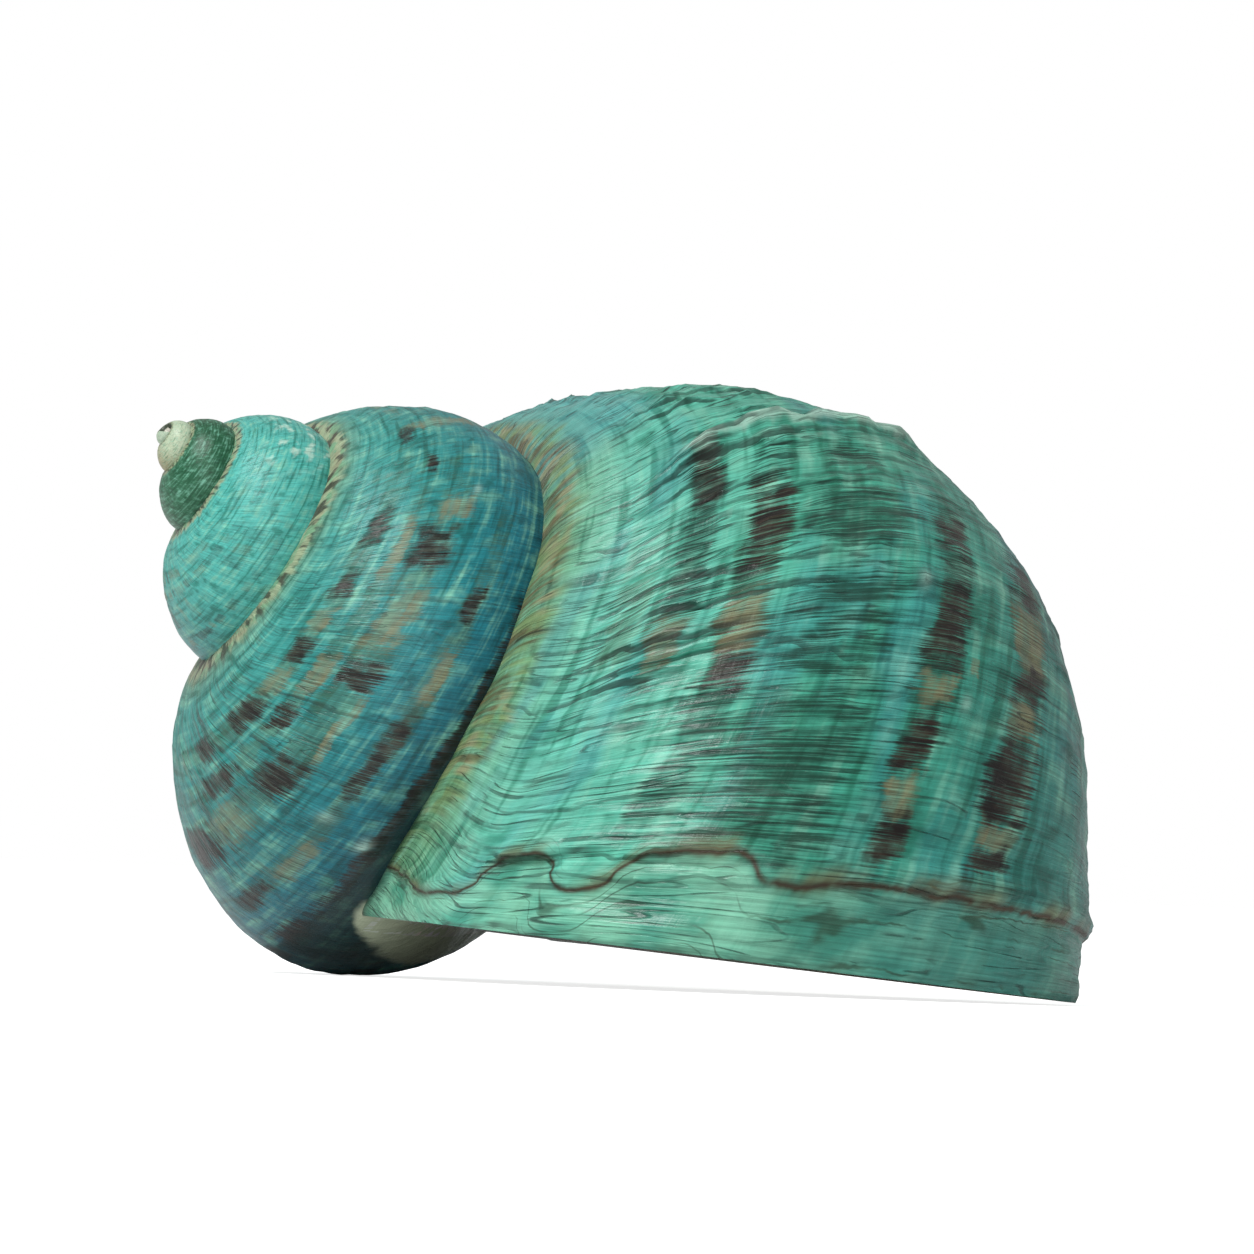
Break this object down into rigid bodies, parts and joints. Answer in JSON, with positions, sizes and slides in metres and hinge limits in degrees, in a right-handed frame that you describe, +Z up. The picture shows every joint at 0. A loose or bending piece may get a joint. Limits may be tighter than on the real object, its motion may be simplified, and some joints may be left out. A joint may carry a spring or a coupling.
{
  "type": "turban shell",
  "caption": "Empty right-handed sea snail shell with a broad domed last whorl, a short stepped spire and a wide open mouth, lying on its lip",
  "frame": {"origin": "Middle of the lowest face of the shell's bounding box, on the surface it lies on", "axes": "+Z up as the shell lies; +X along the lip from the spire side to the outer, front end of the mouth; +Y away from the side on which the whole lip's edge shows"},
  "size_m": [0.071, 0.0688, 0.0455],
  "materials": {
    "shell": "polished semi-gloss sea-green and blue-green shell with brown and cream markings, pearly inside"
  },
  "bodies": {
    "root": {"shell": "shell"}
  },
  "joints": []
}
